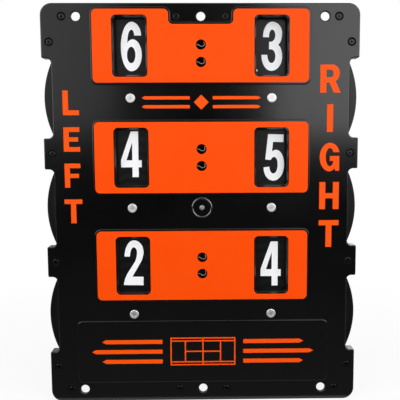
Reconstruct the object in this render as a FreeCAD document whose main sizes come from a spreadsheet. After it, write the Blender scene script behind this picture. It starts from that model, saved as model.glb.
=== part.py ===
import FreeCAD, Part
import functools
import math
import os
import re
import Sketcher

# A courtside tennis scoreboard: a flat moulded case with six number discs behind its windows.
# Millimetres. X runs to the right of someone who faces the board, Z runs up, and the front faces -Y.
# The origin is the middle of the back, where the board lies against a fence or a wall.
# A level is a distance ahead of the back, so it runs along -Y.

SIZES = {
    # Layout of the axles, which the case and the discs follow
    "column_spacing": 209,
    "row_pitch": 163,
    "disc_gap": 7,
    "layer_step": 3.5,
    "layer_room": 2,
    # Case
    "rim_inset": 0.5,
    "end_margin": 8,
    "front_wall": 3,
    "rim_wall": 3,
    "back_wall": 4,
    "case_corner_radius": 17,
    "edge_radius": 1.5,
    "back_edge_radius": 1,
    "disc_room": 1.5,
    "cut_overrun": 1,
    # Thumb notches
    "notch_depth": 14,
    "notch_end_room": 1,
    "notch_floor_radius": 7.5,
    "notch_lip_radius": 2,
    # Windows
    "window_width": 50.1,
    "window_height": 87.1,
    "window_rise": 31.9,
    "window_corner_radius": 6,
    "window_draft": 25,
    "window_frame": 3,
    # Label plates and the plateaus that carry them
    "label_side": 29.4,
    "label_edge": 9.2,
    "label_end_room": 3,
    "label_thickness": 1,
    "label_recess": 0.6,
    "label_fit": 0.3,
    "label_margin": 3.1,
    "label_corner_radius": 7,
    "label_window_gap": 1,
    "tab_width": 95,
    "tab_gap": 0.1,
    "plateau_height": 2.5,
    "plateau_edge_radius": 1.5,
    # Plain plateau at the bottom
    "name_side": 42,
    "name_drop": 10,
    "name_gap": 3,
    "name_corner_radius": 8,
    # Rivets of the label plates
    "rivet_spacing": 25,
    "rivet_recess_radius": 7.5,
    "rivet_recess_depth": 1.4,
    "rivet_head_radius": 6.9,
    "rivet_head_height": 1.9,
    "rivet_head_rounding": 0.7,
    "rivet_cup_radius": 5,
    "rivet_cup_floor_radius": 3.2,
    "rivet_cup_depth": 1.3,
    "rivet_shank_radius": 2.5,
    "rivet_tail_radius": 3.6,
    "rivet_tail_length": 2.6,
    "rivet_fit": 0.1,
    # Mounting holes, and the pockets behind them that open towards the rim
    "mount_edge": 19,
    "mount_radius": 6.5,
    "mount_lead": 1.5,
    "mount_floor": 4,
    "pocket_gap": 1,
    "pocket_side": 4,
    "pocket_wall": 1.9,
    "pocket_corner_radius": 6.5,
    "boss_room": 3,
    # Screws round the edge
    "side_screw_inset": 12,
    "corner_screw_step": 20.5,
    "screw_radius": 2,
    "screw_tip_level": 3,
    "screw_head_radius": 4.6,
    "screw_head_height": 1.6,
    "screw_head_rounding": 1.2,
    "screw_recess_radius": 6.5,
    "screw_recess_depth": 2.3,
    "screw_clearance": 0.3,
    "screw_fit": 0.05,
    "screw_boss_radius": 4.5,
    "pilot_tip_room": 1,
    "rear_boss_height": 6,
    "cross_length": 4.6,
    "cross_width": 1.1,
    "cross_depth": 1.2,
    # Axles
    "post_radius": 4,
    "post_fit": 0.1,
    "post_head_radius": 7,
    "post_head_height": 2.2,
    "post_head_rounding": 1.2,
    "post_dimple_radius": 3.6,
    "post_dimple_depth": 0.3,
    "post_end_gap": 0.3,
    "axle_screw_radius": 2.5,
    "axle_screw_fit": 0.05,
    "axle_screw_length": 9,
    "axle_screw_tip_room": 1.5,
    "axle_screw_head_radius": 7,
    "axle_screw_head_height": 1.7,
    "axle_screw_head_rounding": 0.6,
    "axle_recess_gap": 0.5,
    "axle_recess_depth": 2,
    # Discs with their hubs and washers
    "disc_thickness": 2,
    "disc_edge_radius": 0.6,
    "hub_radius": 10,
    "hub_fit": 0.05,
    "hub_flange_radius": 22,
    "hub_flange_thickness": 2,
    "running_clearance": 0.05,
    "axial_play": 0.1,
    "washer_thickness": 0.8,
    "washer_radius": 13,
    "washer_fit": 0.2,
    # Round moulding mark in the middle of the front
    "mark_radius": 16,
    "mark_ring_width": 3.4,
    "mark_ring_height": 1.7,
    "mark_ring_rounding": 1.5,
    "mark_nub_radius": 4,
    "mark_nub_height": 1.9,
    "mark_nub_rounding": 1.7,
}

# Which layer each disc turns in, counted from the front. Neighbours overlap, so each disc lies ahead of
# the one above it and of the one to its right; two that clear each other can share a layer
LAYERS = {
    "top_left": 2, "top_right": 3,
    "middle_left": 1, "middle_right": 2,
    "lower_left": 0, "lower_right": 1,
}

# Places written as sums of the sizes above
DISC_RADIUS = "((sqrt(column_spacing^2 + row_pitch^2) - disc_gap) / 2)"
COLUMN = "(column_spacing / 2)"
HALF_WIDTH = f"({COLUMN} + {DISC_RADIUS} + rim_inset)"
LABEL_HALF_WIDTH = f"({COLUMN} + window_width / 2 + label_side)"
LABEL_REACH = "(window_rise + window_height + label_edge)"
PLATEAU_MARGIN = "(label_fit + label_margin)"
DISC_END = f"{DISC_RADIUS} + end_margin"
LABEL_END = f"{LABEL_REACH} + {PLATEAU_MARGIN} + label_end_room"
HALF_HEIGHT = f"(row_pitch + max({DISC_END}; {LABEL_END}))"
NOTCH_REACH = f"(sqrt({DISC_RADIUS}^2 - ({DISC_RADIUS} + rim_inset - notch_depth)^2) + notch_end_room)"
PARTING = "back_wall"
CAVITY_DEPTH = f"({max(LAYERS.values())} * layer_step + disc_thickness + 2 * layer_room)"
SHELL_DEPTH = f"({CAVITY_DEPTH} + front_wall)"
CAVITY_FRONT = f"(back_wall + {CAVITY_DEPTH})"
FACE = f"(back_wall + {SHELL_DEPTH})"
PLATEAU = f"({FACE} + plateau_height)"
LABEL_SEAT = f"({PLATEAU} - label_recess)"
RIVET_SEAT = f"({LABEL_SEAT} - rivet_recess_depth)"
SCREW_SEAT = f"({FACE} - screw_recess_depth)"
MOUNT_LEVEL = f"({HALF_HEIGHT} - mount_edge)"
POCKET_HALF_WIDTH = "(mount_radius + pocket_gap)"
MOUNT_BOSS_RADIUS = f"({POCKET_HALF_WIDTH} + pocket_wall)"
TAB_SHELF = f"({MOUNT_LEVEL} - mount_radius - mount_lead - tab_gap - {PLATEAU_MARGIN})"

# Rows and sides of the board, and the side screws' heights as shares of the row pitch
ROWS = {"top": "row_pitch", "middle": "0", "lower": "-row_pitch"}
SIDES = {"left": "-", "right": ""}
SIDE_SCREW_SHARES = (-1.5, -0.5, 0.5, 1.5)

# The most that each corner of the top label's notch may take of the notch's depth
TAB_RADIUS_SHARE = 0.4

# The middle of the board, or a piece's own axis
MIDDLE = ("0", "0")

# The turn that lays an upright round solid down to run towards the front
FORWARDS = FreeCAD.Placement(FreeCAD.Vector(), FreeCAD.Rotation(FreeCAD.Vector(1, 0, 0), 90))

# Where the middle of a quarter circle lies on the way from the corner that it rounds to its centre
CROWN_SHARE = 1 - math.sqrt(0.5)

# How far apart two computed points may lie and still count as one
SAME_PLACE = 1e-4

doc = FreeCAD.newDocument("scoreboard")
sheet = doc.addObject("Spreadsheet::Sheet", "Sizes")
for line, (alias, number) in enumerate(SIZES.items(), start=1):
    sheet.set(f"A{line}", alias)
    sheet.set(f"B{line}", str(number))
    sheet.setAlias(f"B{line}", alias)
doc.recompute()


def formula(text):
    """Points each size named in a sum at its cell."""
    return re.sub("[a-z_]+", lambda word: f"Sizes.{word[0]}" if word[0] in SIZES else word[0], text)


@functools.cache
def value(text):
    """Works out a sum of sizes."""
    return float(sheet.evalExpression(formula(text)))


def bind(item, prop, text):
    """Ties a property to a sum of sizes."""
    item.setExpression(prop, formula(text))


def set_place(item, place, level="0"):
    """Stands an item at a place on the board, moved ahead to a level."""
    bind(item, "Placement.Base.x", place[0])
    bind(item, "Placement.Base.y", f"-({level})")
    bind(item, "Placement.Base.z", place[1])


def new_body(name, place=MIDDLE):
    """Starts a piece whose own axis stands at a place on the board."""
    body = doc.addObject("PartDesign::Body", name)
    body.Label = name
    set_place(body, place)
    return body


def drawing(body, plane, level="0"):
    """Starts a sketch on one of the piece's own planes, moved ahead to a level."""
    sketch = body.newObject("Sketcher::SketchObject", "Drawing")
    sketch.AttachmentSupport = [(item, "") for item in body.Origin.OriginFeatures if item.Role == plane]
    sketch.MapMode = "FlatFace"
    bind(sketch, "AttachmentOffset.Base.z", level)
    return sketch


def constrain(sketch, rules):
    """Adds rules of (kind, geometry, sum of sizes or None); a rule with a sum follows the sheet."""
    made = []
    for kind, geometry, text in rules:
        number = () if text is None else (value(text),)
        made.append(Sketcher.Constraint(kind, *geometry, *number))
    for index, (kind, geometry, text) in zip(sketch.addConstraint(made), rules):
        if text is not None:
            bind(sketch, f"Constraints[{index}]", text)


def pin(geometry, point, place):
    """Gives the rules that fix a point of a sketch at a place."""
    return [
        ("DistanceX", (-1, 1, geometry, point), place[0]),
        ("DistanceY", (-1, 1, geometry, point), place[1]),
    ]


def add_polygon(sketch, corners):
    """Draws a closed outline of straight lines through corners."""
    first = sketch.GeometryCount
    points = [FreeCAD.Vector(value(across), value(up), 0) for across, up in corners]
    sketch.addGeometry([Part.LineSegment(a, b) for a, b in zip(points, points[1:] + points[:1])])
    rules = []
    for index, corner in enumerate(corners):
        following = first + (index + 1) % len(corners)
        rules.append(("Coincident", (first + index, 2, following, 1), None))
        rules += pin(first + index, 1, corner)
    constrain(sketch, rules)


def sign_of(number):
    """Gives the sign of a number as it is written in a sum."""
    return "+" if number > 0 else "-"


def add_outline(sketch, corners):
    """Draws a closed outline of level and upright lines through (across, up, radius) corners, all rounded."""
    first = sketch.GeometryCount
    count = len(corners)
    points = [FreeCAD.Vector(value(across), value(up), 0) for across, up, radius in corners]
    arcs = []
    enters = []
    leaves = []
    rules = []
    for index, (across, up, radius) in enumerate(corners):
        corner = points[index]
        back = (points[index - 1] - corner).normalize() * value(radius)
        ahead = (points[(index + 1) % count] - corner).normalize() * value(radius)
        crown = corner + (back + ahead) * CROWN_SHARE
        turns_left = ahead.cross(back).z > 0
        enters.append((corner + back, 1 if turns_left else 2))
        leaves.append((corner + ahead, 2 if turns_left else 1))
        ends = [corner + back, corner + ahead] if turns_left else [corner + ahead, corner + back]
        arcs.append(Part.Arc(ends[0], crown, ends[1]))
        middle = (back + ahead) + corner
        rules += pin(first + index, 3, (
            f"{across} {sign_of(middle.x - corner.x)} ({radius})",
            f"{up} {sign_of(middle.y - corner.y)} ({radius})",
        ))
        rules.append(("Radius", (first + index,), radius))
    lines = []
    for index, (start, leaving_end) in enumerate(leaves):
        following = (index + 1) % count
        stop, entering_end = enters[following]
        line = first + count + index
        lines.append(Part.LineSegment(start, stop))
        rules.append(("Tangent", (first + index, leaving_end, line, 1), None))
        rules.append(("Tangent", (line, 2, first + following, entering_end), None))
    sketch.addGeometry(arcs + lines)
    constrain(sketch, rules)


def add_circles(sketch, places, radius):
    """Draws a circle round each place."""
    rules = []
    for across, up in places:
        middle = FreeCAD.Vector(value(across), value(up), 0)
        circle = sketch.addGeometry(Part.Circle(middle, FreeCAD.Vector(0, 0, 1), value(radius)))
        rules += pin(circle, 3, (across, up))
        rules.append(("Radius", (circle,), radius))
    constrain(sketch, rules)


def pad(body, sketch, height):
    """Raises a drawing towards the front."""
    feature = body.newObject("PartDesign::Pad", "Pad")
    feature.Profile = sketch
    bind(feature, "Length", height)
    doc.recompute()
    return feature


def pocket(body, sketch, depth, forwards=False):
    """Sinks a drawing towards the back, or forwards from behind, and makes sure that it cuts."""
    before = body.Shape.Volume
    feature = body.newObject("PartDesign::Pocket", "Pocket")
    feature.Profile = sketch
    feature.Reversed = forwards
    bind(feature, "Length", depth)
    doc.recompute()
    if not body.Shape.Volume < before:
        raise RuntimeError(f"a pocket in {body.Label} cuts nothing")


def spin(body, profile):
    """Turns a closed profile of (radius, level) corners round the piece's own axis."""
    sketch = drawing(body, "XY_Plane")
    add_polygon(sketch, [(radius, f"-({level})") for radius, level in profile])
    feature = body.newObject("PartDesign::Revolution", "Revolution")
    feature.Profile = sketch
    feature.ReferenceAxis = (sketch, ["V_Axis"])
    doc.recompute()


def round_edges(body, radius, wanted):
    """Rounds the edges of a piece that are wanted."""
    base = body.Tip
    names = [f"Edge{index}" for index, edge in enumerate(base.Shape.Edges, start=1) if wanted(edge)]
    if not names:
        raise RuntimeError(f"{body.Label} has no such edge to round")
    feature = body.newObject("PartDesign::Fillet", "Fillet")
    feature.Base = (base, names)
    bind(feature, "Radius", radius)
    doc.recompute()


def round_rim(body, level, radius, reach="0"):
    """Rounds the edges that lie flat at a level and come at least as far out as reach."""
    depth = -value(level)
    outer = value(reach)

    def wanted(edge):
        box = edge.BoundBox
        flat = abs(box.YMin - depth) < SAME_PLACE and abs(box.YMax - depth) < SAME_PLACE
        return flat and box.XMax > outer - SAME_PLACE

    round_edges(body, radius, wanted)


def round_corners(body, places, radius):
    """Rounds the straight edges that run front to back through the given places."""
    spots = [(value(across), value(up)) for across, up in places]

    def wanted(edge):
        box = edge.BoundBox
        thin = max(box.XLength, box.ZLength) < SAME_PLACE
        middle = box.Center
        return thin and any(math.hypot(middle.x - x, middle.z - z) < SAME_PLACE for x, z in spots)

    round_edges(body, radius, wanted)


def rod(place, back, length, radius):
    """Makes a round bar that runs forwards from a level."""
    bar = doc.addObject("Part::Cylinder", "Rod")
    bar.Placement = FORWARDS
    set_place(bar, place, back)
    bind(bar, "Radius", radius)
    bind(bar, "Height", length)
    return bar


def rods(places, back, length, radius):
    """Makes a like bar at each place."""
    return [rod(place, back, length, radius) for place in places]


def flare(place, back, length, radius):
    """Makes a cone that starts at a radius on a level and opens forwards at 45 degrees."""
    cone = doc.addObject("Part::Cone", "Flare")
    cone.Placement = FORWARDS
    set_place(cone, place, back)
    bind(cone, "Radius1", radius)
    bind(cone, "Radius2", f"{radius} + {length}")
    bind(cone, "Height", length)
    return cone


def block(left, right, bottom, top, back, depth):
    """Makes a plain block that runs forwards from a level."""
    box = doc.addObject("Part::Box", "Block")
    set_place(box, (left, bottom), f"{back} + {depth}")
    bind(box, "Length", f"{right} - ({left})")
    bind(box, "Width", depth)
    bind(box, "Height", f"{top} - ({bottom})")
    return box


def plate(name, outlines, back, height, holes=(), hole_radius="0"):
    """Makes a flat piece that runs forwards from a level; an outline inside another one is an opening."""
    body = new_body(name)
    sketch = drawing(body, "XZ_Plane", back)
    for outline in outlines:
        add_outline(sketch, outline)
    add_circles(sketch, holes, hole_radius)
    pad(body, sketch, height)
    return body


def ring(name, place, radii, back, height):
    """Makes a flat ring, or a disc if it has one radius, that runs forwards from a level."""
    body = new_body(name, place)
    sketch = drawing(body, "XZ_Plane", back)
    for radius in radii:
        add_circles(sketch, [MIDDLE], radius)
    pad(body, sketch, height)
    return body


def joined(name, items):
    """Joins solids into one."""
    whole = doc.addObject("Part::MultiFuse", name)
    whole.Label = name
    whole.Shapes = items
    return whole


def without(name, base, tools):
    """Takes the tools out of a solid."""
    rest = doc.addObject("Part::Cut", name)
    rest.Label = name
    rest.Base = base
    rest.Tool = joined(f"{name}_tools", tools)
    return rest


def box_corners(left, right, bottom, top, radius):
    """Gives the four rounded corners of an upright rectangle."""
    return [(left, bottom, radius), (right, bottom, radius), (right, top, radius), (left, top, radius)]


def case_slab(name, level, height, rim_level, rim_radius):
    """Makes a slab of the case's outline with its thumb notches, and rounds its rim on one side."""
    across = HALF_WIDTH
    floor = f"({HALF_WIDTH} - notch_depth)"
    beyond = f"({HALF_WIDTH} + notch_depth)"
    body = new_body(name)
    sketch = drawing(body, "XZ_Plane", level)
    outline = box_corners(f"-{across}", across, f"-{HALF_HEIGHT}", HALF_HEIGHT, "case_corner_radius")
    add_outline(sketch, outline)
    pad(body, sketch, height)
    lips = []
    for row in ROWS.values():
        lower = f"{row} - {NOTCH_REACH}"
        upper = f"{row} + {NOTCH_REACH}"
        sketch = drawing(body, "XZ_Plane", f"{level} + {height}")
        add_outline(sketch, box_corners(floor, beyond, lower, upper, "notch_floor_radius"))
        add_outline(sketch, box_corners(f"-{beyond}", f"-{floor}", lower, upper, "notch_floor_radius"))
        pocket(body, sketch, height)
        lips += [(across, lower), (across, upper), (f"-{across}", lower), (f"-{across}", upper)]
    round_corners(body, lips, "notch_lip_radius")
    round_rim(body, rim_level, rim_radius)
    return body


def cavity():
    """Gives the solids that hollow the front shell: middle, corners, ears and room for the discs."""
    top = f"({HALF_HEIGHT} - rim_wall)"
    side = f"({HALF_WIDTH} - rim_wall)"
    floor = f"({HALF_WIDTH} - notch_depth - rim_wall)"
    start = f"{PARTING} - cut_overrun"
    depth = f"({CAVITY_DEPTH} + cut_overrun)"
    reach = f"({NOTCH_REACH} + rim_wall)"
    solids = [block(f"-{floor}", floor, f"-{top}", top, start, depth)]
    ears = [
        (f"-{top}", f"-row_pitch - {reach}"),
        (f"-row_pitch + {reach}", f"-{reach}"),
        (reach, f"row_pitch - {reach}"),
        (f"row_pitch + {reach}", top),
    ]
    solids += [block(f"-{side}", side, lower, upper, start, depth) for lower, upper in ears]
    solids += rods(axle_places(), start, depth, f"{DISC_RADIUS} + disc_room")
    return solids


def axle_places():
    """Gives the middle of each disc."""
    return [(f"{sign}{COLUMN}", row) for row in ROWS.values() for sign in SIDES.values()]


def beside_disc(radius):
    """Gives how far sideways of a disc's axle something of a radius clears that disc on the mounting row."""
    drop = f"({MOUNT_LEVEL} - row_pitch)"
    return f"sqrt(max(0; ({DISC_RADIUS} + {radius} + boss_room)^2 - {drop}^2))"


def outer_mount():
    """Gives how far out the corner mounts lie to clear the discs and the top label."""
    beside_label = f"{LABEL_HALF_WIDTH} + {PLATEAU_MARGIN} + {MOUNT_BOSS_RADIUS}"
    return f"max({COLUMN} + {beside_disc(MOUNT_BOSS_RADIUS)}; {beside_label})"


def mount_places():
    """Gives the mounting holes, three along the top and three along the bottom."""
    outer = outer_mount()
    return [(across, f"{sign}{MOUNT_LEVEL}") for sign in ("-", "") for across in (f"-{outer}", "0", outer)]


def pocket_outlines(grow, rim):
    """Gives the outlines of the mounts' pockets, made larger by grow, each up to a distance from the board's end."""
    outer = outer_mount()
    half = f"({POCKET_HALF_WIDTH} + {grow})"
    aside = f"({half} + pocket_side)"
    near = f"({MOUNT_LEVEL} - {half})"
    far = f"({HALF_HEIGHT} - {rim})"
    radius = f"pocket_corner_radius + {grow}"
    spans = [
        (f"-{outer} - {aside}", f"-{outer} + {half}"),
        (f"-{half}", half),
        (f"{outer} - {half}", f"{outer} + {aside}"),
    ]
    outlines = []
    for left, right in spans:
        outlines.append(box_corners(left, right, near, far, radius))
        outlines.append(box_corners(left, right, f"-{far}", f"-{near}", radius))
    return outlines


def pockets(grow, rim, back, depth):
    """Gives solids of the mounts' pockets that run forwards from a level."""
    return [plate("pocket", [outline], back, depth) for outline in pocket_outlines(grow, rim)]


def screw_places():
    """Gives the screws round the edge: four along the top and the bottom, and four up each side."""
    in_tab = f"tab_width / 2 - {PLATEAU_MARGIN} - screw_recess_radius"
    inner = f"min({COLUMN} - {beside_disc('screw_boss_radius')}; {in_tab})"
    outer = f"({outer_mount()} + corner_screw_step)"
    edge = f"({HALF_WIDTH} - side_screw_inset)"
    places = []
    for sign in SIDES.values():
        for end in ("-", ""):
            places += [(f"{sign}{inner}", f"{end}{MOUNT_LEVEL}"), (f"{sign}{outer}", f"{end}{MOUNT_LEVEL}")]
        places += [(f"{sign}{edge}", f"{share} * row_pitch") for share in SIDE_SCREW_SHARES]
    return places


def rivet_places(name):
    """Gives the two rivets of a label plate, centred in the height that it has there."""
    top = TAB_SHELF if name == "top" else label_top(name)
    middle = f"({label_bottom(name)} + {top}) / 2"
    return [("0", f"{middle} - rivet_spacing / 2"), ("0", f"{middle} + rivet_spacing / 2")]


def all_rivets():
    """Gives the rivets of all the label plates."""
    return [place for name in ROWS for place in rivet_places(name)]


def window_corners(row, sign, grow):
    """Gives the outline of the window above one axle, made larger all round by grow."""
    side = f"(window_width / 2 + {grow})"
    bottom = f"{row} + window_rise - {grow}"
    top = f"{row} + window_rise + window_height + {grow}"
    radius = f"window_corner_radius + {grow}"
    return box_corners(f"{sign}{COLUMN} - {side}", f"{sign}{COLUMN} + {side}", bottom, top, radius)


def label_bottom(name):
    """Gives the height of a label plate's lower edge."""
    return f"({ROWS[name]} + window_rise - label_edge)"


def label_top(name):
    """Gives the height of a label plate's upper edge."""
    return f"({ROWS[name]} + {LABEL_REACH})"


def label_corners(name, grow):
    """Gives the outline of a label plate, made larger all round by grow, with the notch of the top one."""
    side = f"({LABEL_HALF_WIDTH} + {grow})"
    bottom = f"{label_bottom(name)} - ({grow})"
    top = f"{label_top(name)} + {grow}"
    corners = box_corners(f"-{side}", side, bottom, top, f"label_corner_radius + {grow}")
    if name == "top":
        half_tab = f"(tab_width / 2 - ({grow}))"
        shelf = f"{TAB_SHELF} + {grow}"
        tab_depth = f"({label_top(name)} - {TAB_SHELF})"
        tab_radius = f"min(label_corner_radius; {TAB_RADIUS_SHARE} * {tab_depth})"
        outer = f"{tab_radius} + {grow}"
        inner = f"{tab_radius} - ({grow})"
        corners[3:3] = [(half_tab, top, outer), (half_tab, shelf, inner)]
        corners[5:5] = [(f"-{half_tab}", shelf, inner), (f"-{half_tab}", top, outer)]
    return corners


def name_corners(inset):
    """Gives the outline of the plain plateau at the bottom, made smaller all round by inset."""
    side = f"({HALF_WIDTH} - name_side - {inset})"
    bottom = f"-{MOUNT_LEVEL} + mount_radius + mount_lead + name_gap + {inset}"
    top = f"-row_pitch - name_drop - {inset}"
    return box_corners(f"-{side}", side, bottom, top, f"name_corner_radius - {inset}")


def cross_corners():
    """Gives the twelve corners of a cross recess."""
    far = "(cross_length / 2)"
    near = "(cross_width / 2)"
    arm = [(near, far), (near, near), (far, near)]
    corners = []
    for x_sign, z_sign, steps in (("", "", 1), ("", "-", -1), ("-", "-", 1), ("-", "", -1)):
        corners += [(f"{x_sign}{x}", f"{z_sign}{z}") for x, z in arm[::steps]]
    return corners


def plateaus():
    """Gives the raised plateaus of the front, which carry the labels, and the plain one at the bottom."""
    outlines = [label_corners(name, PLATEAU_MARGIN) for name in ROWS]
    outlines.append(name_corners("0"))
    raised = []
    for outline in outlines:
        body = plate("plateau", [outline], f"{FACE} - front_wall", "front_wall + plateau_height")
        round_rim(body, PLATEAU, "plateau_edge_radius")
        raised.append(body)
    return raised


def plateau_hollows():
    """Gives the hollows behind the plateaus, which leave a frame round each window."""
    back = f"{CAVITY_FRONT} - cut_overrun"
    depth = "plateau_height + cut_overrun"
    hollows = [plate("hollow", [name_corners("rim_wall")], back, depth)]
    for name, row in ROWS.items():
        outlines = [label_corners(name, f"{PLATEAU_MARGIN} - rim_wall")]
        outlines += [window_corners(row, sign, "window_frame") for sign in SIDES.values()]
        hollows.append(plate("hollow", outlines, back, depth))
    return hollows


def windows():
    """Gives the openings of the windows, which narrow towards the back."""
    openings = []
    for row in ROWS.values():
        for sign in SIDES.values():
            body = new_body("window")
            sketch = drawing(body, "XZ_Plane", LABEL_SEAT)
            add_outline(sketch, window_corners(row, sign, "0"))
            opening = pad(body, sketch, f"{LABEL_SEAT} - {CAVITY_FRONT} + cut_overrun")
            opening.Reversed = True
            bind(opening, "TaperAngle", "-window_draft")
            openings.append(body)
    return openings


def front_holes():
    """Gives the recesses and holes of the rivets, screws, axles and mounts in the front."""
    through = f"{SHELL_DEPTH} + 2 * cut_overrun"
    start = f"{PARTING} - cut_overrun"
    holes = rods(all_rivets(), RIVET_SEAT, "rivet_recess_depth + cut_overrun", "rivet_recess_radius")
    rivet_hole = "rivet_shank_radius + rivet_fit"
    holes += rods(all_rivets(), f"{RIVET_SEAT} - front_wall", "front_wall + cut_overrun", rivet_hole)
    holes += rods(screw_places(), SCREW_SEAT, "screw_recess_depth + cut_overrun", "screw_recess_radius")
    holes += rods(screw_places(), start, through, "screw_radius + screw_clearance")
    holes += rods(axle_places(), start, through, "post_radius + post_fit")
    holes += rods(mount_places(), start, through, "mount_radius")
    holes += pockets("0", "rim_wall", start, f"{SHELL_DEPTH} - mount_floor + cut_overrun")
    lead = "mount_lead + cut_overrun"
    holes += [flare(place, f"{FACE} - mount_lead", lead, "mount_radius") for place in mount_places()]
    return holes


def moulding_mark():
    """Gives the raised ring and the nub of the round moulding mark."""
    nub = ring("nub", MIDDLE, ["mark_nub_radius"], CAVITY_FRONT, "front_wall + mark_nub_height")
    round_rim(nub, f"{FACE} + mark_nub_height", "mark_nub_rounding")
    radii = ["mark_radius", "mark_radius - mark_ring_width"]
    bead = ring("bead", MIDDLE, radii, CAVITY_FRONT, "front_wall + mark_ring_height")
    round_rim(bead, f"{FACE} + mark_ring_height", "mark_ring_rounding")
    return [nub, bead]


def front_panel():
    """Makes the moulded front shell."""
    slab = case_slab("front_slab", PARTING, SHELL_DEPTH, FACE, "edge_radius")
    shell = without("front_shell", slab, cavity())
    boss_end = f"{SHELL_DEPTH} - front_wall / 2"
    bosses = pockets("pocket_wall", "rim_wall / 2", PARTING, boss_end)
    boss_length = f"{boss_end} - rear_boss_height"
    bosses += rods(screw_places(), f"{PARTING} + rear_boss_height", boss_length, "screw_boss_radius")
    mass = joined("front_mass", [shell] + moulding_mark() + bosses + plateaus())
    seats = [
        plate("seat", [label_corners(name, "label_fit")], LABEL_SEAT, "label_recess + cut_overrun")
        for name in ROWS
    ]
    return without("front_panel", mass, plateau_hollows() + seats + windows() + front_holes())


def rear_panel():
    """Makes the back plate with its screw bosses."""
    slab = case_slab("rear_slab", "0", "back_wall", "0", "back_edge_radius")
    bosses = rods(screw_places(), "back_wall / 2", "back_wall / 2 + rear_boss_height", "screw_boss_radius")
    tip = "screw_tip_level - pilot_tip_room"
    through = "back_wall + 2 * cut_overrun"
    recess_radius = "axle_screw_head_radius + axle_recess_gap"
    holes = rods(screw_places(), tip, "back_wall + rear_boss_height", "screw_radius + screw_fit")
    holes += rods(axle_places(), "-cut_overrun", through, "post_radius + post_fit")
    holes += rods(axle_places(), "-cut_overrun", "axle_recess_depth + cut_overrun", recess_radius)
    holes += pockets("0", "rim_wall", "-cut_overrun", through)
    return without("rear_panel", joined("rear_mass", [slab] + bosses), holes)


def label_plate(name):
    """Makes one orange plate with its windows and rivet holes."""
    outlines = [label_corners(name, "0")]
    outlines += [window_corners(ROWS[name], sign, "label_window_gap") for sign in SIDES.values()]
    holes = rivet_places(name)
    return plate(f"label_plate_{name}", outlines, LABEL_SEAT, "label_thickness", holes, "rivet_recess_radius")


def rivet():
    """Makes one push rivet: a cupped head, a shank and a spread tail."""
    body = new_body("rivet")
    top = f"{RIVET_SEAT} + rivet_head_height"
    behind = f"{PLATEAU} - front_wall"
    spin(body, [
        ("0", f"{top} - rivet_cup_depth"),
        ("rivet_cup_floor_radius", f"{top} - rivet_cup_depth"),
        ("rivet_cup_radius", top),
        ("rivet_head_radius", top),
        ("rivet_head_radius", RIVET_SEAT),
        ("rivet_shank_radius", RIVET_SEAT),
        ("rivet_shank_radius", behind),
        ("rivet_tail_radius", behind),
        ("rivet_shank_radius", f"{behind} - rivet_tail_length"),
        ("0", f"{behind} - rivet_tail_length"),
    ])
    round_rim(body, top, "rivet_head_rounding", "rivet_head_radius")
    return body


def edge_screw():
    """Makes one screw with a domed head and a cross recess."""
    body = new_body("edge_screw")
    top = f"{SCREW_SEAT} + screw_head_height"
    spin(body, [
        ("0", top),
        ("screw_head_radius", top),
        ("screw_head_radius", SCREW_SEAT),
        ("screw_radius", SCREW_SEAT),
        ("screw_radius", "screw_tip_level"),
        ("0", "screw_tip_level"),
    ])
    round_rim(body, top, "screw_head_rounding")
    sketch = drawing(body, "XZ_Plane", top)
    add_polygon(sketch, cross_corners())
    pocket(body, sketch, "cross_depth")
    return body


def group(name, pattern, places):
    """Gathers copies of one small part, set at their places, under one name."""
    copies = []
    for place in places:
        copy = doc.addObject("App::Link", f"{pattern.Label}_copy")
        copy.LinkedObject = pattern
        set_place(copy, place)
        copies.append(copy)
    gathered = doc.addObject("Part::Compound", name)
    gathered.Label = name
    gathered.Links = copies
    return gathered


def axle_post(name, place):
    """Makes one axle: a tube closed by a wide low head on the front."""
    body = new_body(f"axle_post_{name}", place)
    top = f"{FACE} + post_head_height"
    end = "axle_recess_depth + post_end_gap"
    bore = "axle_screw_radius + axle_screw_fit"
    bore_top = "axle_recess_depth + axle_screw_length + axle_screw_tip_room"
    spin(body, [
        ("0", f"{top} - post_dimple_depth"),
        ("post_dimple_radius", f"{top} - post_dimple_depth"),
        ("post_dimple_radius + post_dimple_depth", top),
        ("post_head_radius", top),
        ("post_head_radius", FACE),
        ("post_radius", FACE),
        ("post_radius", end),
        (bore, end),
        (bore, bore_top),
        ("0", bore_top),
    ])
    round_rim(body, top, "post_head_rounding", "post_head_radius")
    return body


def axle_screw(name, place):
    """Makes the screw that closes one axle from behind."""
    body = new_body(f"axle_screw_{name}", place)
    seat = "axle_recess_depth"
    back = f"({seat} - axle_screw_head_height)"
    spin(body, [
        ("0", back),
        ("axle_screw_head_radius", back),
        ("axle_screw_head_radius", seat),
        ("axle_screw_radius", seat),
        ("axle_screw_radius", f"{seat} + axle_screw_length"),
        ("0", f"{seat} + axle_screw_length"),
    ])
    round_rim(body, back, "axle_screw_head_rounding")
    sketch = drawing(body, "XZ_Plane", back)
    add_polygon(sketch, cross_corners())
    pocket(body, sketch, "cross_depth", forwards=True)
    return body


def number_disc(name, place, back):
    """Makes one disc, from its back level forwards, with a hole for its hub."""
    radii = [DISC_RADIUS, "hub_radius + hub_fit"]
    body = ring(f"number_disc_{name}", place, radii, back, "disc_thickness")
    for level in (back, f"{back} + disc_thickness"):
        round_rim(body, level, "disc_edge_radius", DISC_RADIUS)
    return body


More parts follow.
